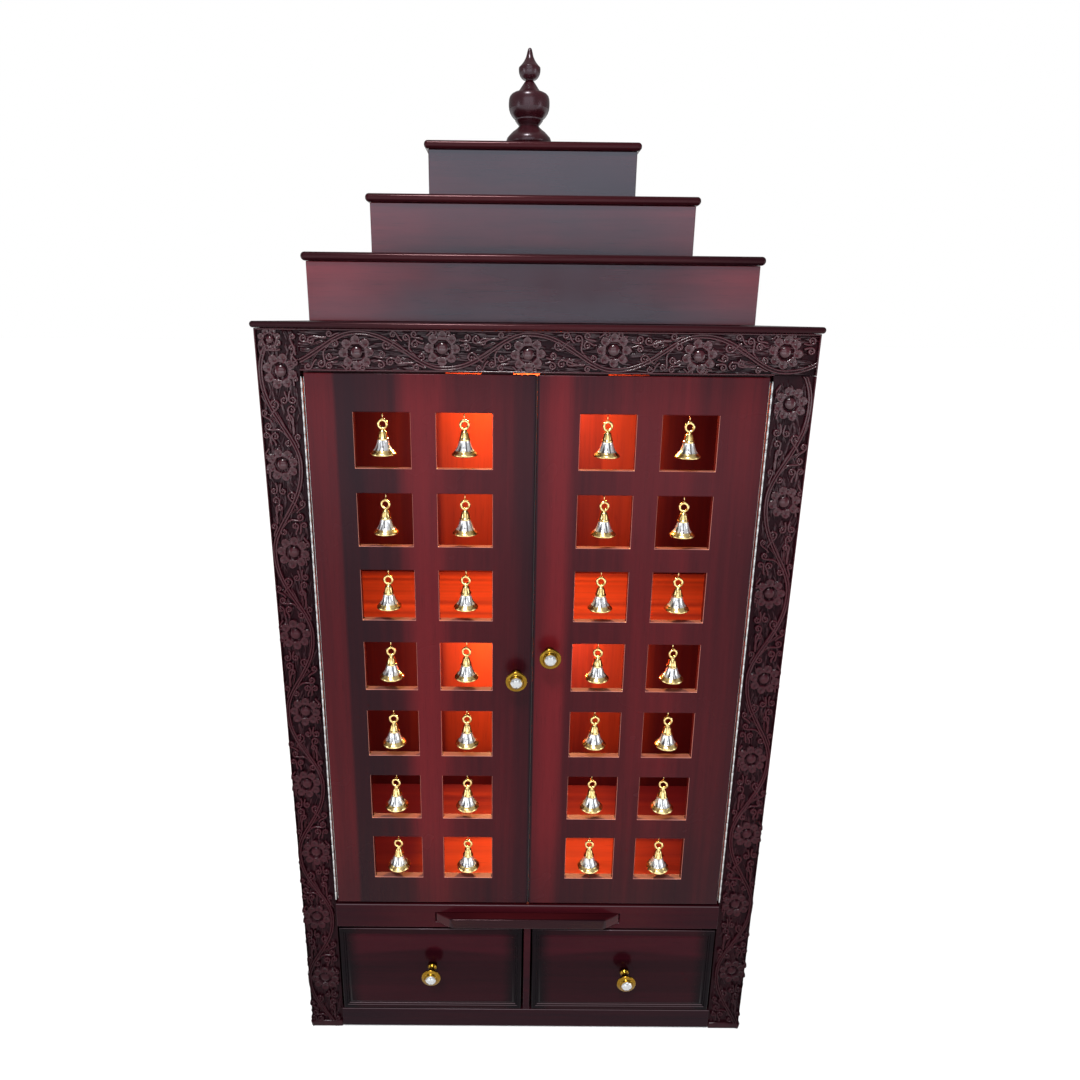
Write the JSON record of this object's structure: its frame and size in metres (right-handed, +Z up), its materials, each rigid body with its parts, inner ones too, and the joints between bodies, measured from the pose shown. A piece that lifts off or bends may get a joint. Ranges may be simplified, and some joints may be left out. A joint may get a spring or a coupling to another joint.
{
  "type": "home temple cabinet",
  "caption": "Hardwood home shrine cabinet: carved frame, two window doors hung with bells, a pull-out tray, two drawers, and a stepped roof with a turned finial.",
  "frame": {"origin": "on the floor, under the middle of the whole object's box, the knobs included", "axes": "+Z up, -Y towards the person who stands at the doors, +X to that person's right"},
  "size_m": [0.617, 0.3264, 1.2953],
  "materials": {
    "frame_wood": "dark rosewood stain, satin lacquer over carving",
    "cabinet_wood": "rosewood stain shaded to black at the edges, glossy lacquer",
    "niche_wood": "reddish stain, satin lacquer",
    "knob_brass": "polished brass with a clear faceted crystal in the face",
    "bell_brass": "thin plated metal, gold at crown and rim, silvery between",
    "hinge_steel": "bright rolled steel"
  },
  "bodies": {
    "cabinet": {"frame_stile_left": "frame_wood", "frame_stile_right": "frame_wood", "frame_top_rail": "frame_wood", "side_panel_left": "cabinet_wood", "side_panel_right": "cabinet_wood", "base_board": "cabinet_wood", "top_board": "cabinet_wood", "tray_rail": "cabinet_wood", "base_rail": "cabinet_wood", "drawer_divider": "cabinet_wood", "back_panel": "niche_wood", "niche_floor": "niche_wood", "niche_shelf": "niche_wood", "roof_tier_1": "cabinet_wood", "roof_tier_2": "cabinet_wood", "roof_tier_3": "cabinet_wood", "roof_board_1": "cabinet_wood", "roof_board_2": "cabinet_wood", "roof_board_3": "cabinet_wood", "finial": "cabinet_wood", "piano_hinge_left": "hinge_steel", "piano_hinge_right": "hinge_steel"},
    "door_left": {"door_left": "cabinet_wood", "door_knob_left": "knob_brass", "bell_left_r1_c1": "bell_brass", "bell_left_r1_c2": "bell_brass", "bell_left_r2_c1": "bell_brass", "bell_left_r2_c2": "bell_brass", "bell_left_r3_c1": "bell_brass", "bell_left_r3_c2": "bell_brass", "bell_left_r4_c1": "bell_brass", "bell_left_r4_c2": "bell_brass", "bell_left_r5_c1": "bell_brass", "bell_left_r5_c2": "bell_brass", "bell_left_r6_c1": "bell_brass", "bell_left_r6_c2": "bell_brass", "bell_left_r7_c1": "bell_brass", "bell_left_r7_c2": "bell_brass"},
    "door_right": {"door_right": "cabinet_wood", "door_knob_right": "knob_brass", "bell_right_r1_c1": "bell_brass", "bell_right_r1_c2": "bell_brass", "bell_right_r2_c1": "bell_brass", "bell_right_r2_c2": "bell_brass", "bell_right_r3_c1": "bell_brass", "bell_right_r3_c2": "bell_brass", "bell_right_r4_c1": "bell_brass", "bell_right_r4_c2": "bell_brass", "bell_right_r5_c1": "bell_brass", "bell_right_r5_c2": "bell_brass", "bell_right_r6_c1": "bell_brass", "bell_right_r6_c2": "bell_brass", "bell_right_r7_c1": "bell_brass", "bell_right_r7_c2": "bell_brass"},
    "drawer_left": {"drawer_left": "cabinet_wood", "drawer_knob_left": "knob_brass"},
    "drawer_right": {"drawer_right": "cabinet_wood", "drawer_knob_right": "knob_brass"},
    "tray": {"pull_out_tray": "cabinet_wood"}
  },
  "joints": [
    {"name": "door_left_hinge", "type": "hinge", "parent": "cabinet", "child": "door_left", "pos_m": [-0.257, -0.13715, 0.5629], "axis": [0, 0, -1], "range_deg": [0, 170]},
    {"name": "door_right_hinge", "type": "hinge", "parent": "cabinet", "child": "door_right", "pos_m": [0.257, -0.13715, 0.5629], "axis": [0, 0, 1], "range_deg": [0, 170]},
    {"name": "drawer_left_slide", "type": "slide", "parent": "cabinet", "child": "drawer_left", "axis": [0, -1, 0], "range_m": [0, 0.18]},
    {"name": "drawer_right_slide", "type": "slide", "parent": "cabinet", "child": "drawer_right", "axis": [0, -1, 0], "range_m": [0, 0.18]},
    {"name": "tray_slide", "type": "slide", "parent": "cabinet", "child": "tray", "axis": [0, -1, 0], "range_m": [0, 0.16]}
  ]
}
